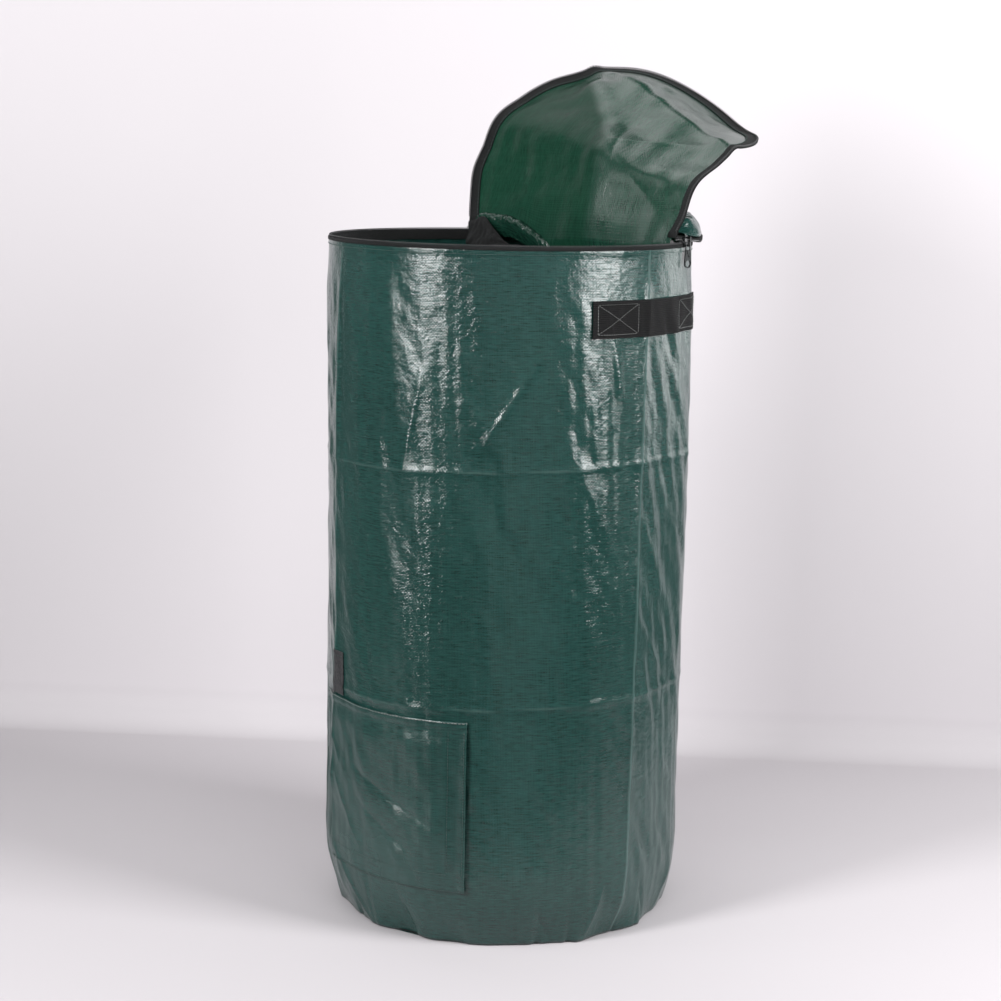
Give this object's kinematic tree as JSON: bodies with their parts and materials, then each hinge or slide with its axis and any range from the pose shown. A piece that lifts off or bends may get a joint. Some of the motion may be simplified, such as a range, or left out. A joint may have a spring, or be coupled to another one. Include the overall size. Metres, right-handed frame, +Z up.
{
  "type": "grow bag",
  "caption": "Upright round grow bag of coated woven sheet with a zipped fold-back lid, webbing handles and a lift-up harvest flap near the foot.",
  "frame": {"origin": "middle of the base, on the floor", "axes": "+Z up along the bag's axis; -Y is the front, with the harvest flap to the left of it and a handle to the right; +X right"},
  "size_m": [0.536, 0.4998, 1.0745],
  "materials": {
    "green_sheet": "coated woven sheet, glossy",
    "black_tape": "woven tape, matt",
    "zip_coil": "moulded coil",
    "zip_metal": "dark plated die casting, worn",
    "webbing": "ribbed webbing",
    "hook_and_loop": "hook and loop pile",
    "thread": "twisted thread"
  },
  "bodies": {
    "bag": {"bag_wall": "green_sheet", "base_panel": "green_sheet", "base_binding": "black_tape", "wall_seam": "green_sheet", "rim_stitching": "thread", "rim_zip_tape": "black_tape", "rim_zip_coil": "zip_coil", "zip_stops": "zip_coil", "lid_back_panel": "green_sheet", "lid_back_tape": "black_tape", "lid_back_coil": "zip_coil", "handle_right_ends": "webbing", "handle_right_stitching": "thread", "handle_left_ends": "webbing", "handle_left_stitching": "thread", "keeper_strip": "hook_and_loop", "loop_strip_left": "hook_and_loop", "loop_strip_right": "hook_and_loop", "loop_strip_bottom": "hook_and_loop"},
    "lid_root": {"lid_root_panel": "green_sheet", "lid_root_tape": "black_tape", "lid_root_coil": "zip_coil"},
    "lid_main": {"lid_main_panel": "green_sheet", "lid_main_tape": "black_tape", "lid_main_coil": "zip_coil"},
    "lid_tip": {"lid_tip_panel": "green_sheet", "lid_tip_tape": "black_tape", "lid_tip_coil": "zip_coil"},
    "slider": {"zip_slider": "zip_metal"},
    "pull": {"zip_pull": "zip_metal"},
    "flap": {"flap_panel": "green_sheet", "flap_stitching": "thread", "hook_strip_left": "hook_and_loop", "hook_strip_right": "hook_and_loop", "hook_strip_bottom": "hook_and_loop"},
    "grip_right": {"handle_right_grip": "webbing"},
    "grip_left": {"handle_left_grip": "webbing"}
  },
  "joints": [
    {"name": "lid_hinge", "type": "hinge", "parent": "bag", "child": "lid_root", "pos_m": [0.07493, 0.05854, 0.8574], "axis": [-0.6157, 0.788, 0], "range_deg": [-109, 20]},
    {"name": "lid_fold", "type": "hinge", "parent": "lid_root", "child": "lid_main", "pos_m": [0.10084, 0.07879, 0.9529], "axis": [-0.553, 0.8121, 0.1864], "range_deg": [-34.01, 6.3]},
    {"name": "lid_curl", "type": "hinge", "parent": "lid_main", "child": "lid_tip", "pos_m": [0.19271, 0.10059, 1.0133], "axis": [-0.4167, 0.8627, 0.2866], "range_deg": [-43.01, 7.9]},
    {"name": "zip_travel", "type": "hinge", "parent": "bag", "child": "slider", "pos_m": [0, 0, 0.85], "axis": [0, 0, 1], "range_deg": [-231, 0]},
    {"name": "pull_swing", "type": "hinge", "parent": "slider", "child": "pull", "pos_m": [0.21399, -0.08646, 0.849], "axis": [-0.766, -0.6428, 0], "range_deg": [0, 150]},
    {"name": "flap_lift", "type": "hinge", "parent": "bag", "child": "flap", "pos_m": [-0.15592, -0.16546, 0.284], "axis": [-0.7278, 0.6858, 0], "range_deg": [0, 140]},
    {"name": "handle_right_pull", "type": "slide", "parent": "bag", "child": "grip_right", "axis": [0.8059, -0.592, 0], "range_m": [0, 0.012]},
    {"name": "handle_left_pull", "type": "slide", "parent": "bag", "child": "grip_left", "axis": [-0.8059, 0.592, 0], "range_m": [0, 0.012]}
  ],
  "couplings": [
    {"joint": "lid_fold", "follows": "lid_hinge", "ratio": 0.31193},
    {"joint": "lid_curl", "follows": "lid_hinge", "ratio": 0.39449}
  ]
}
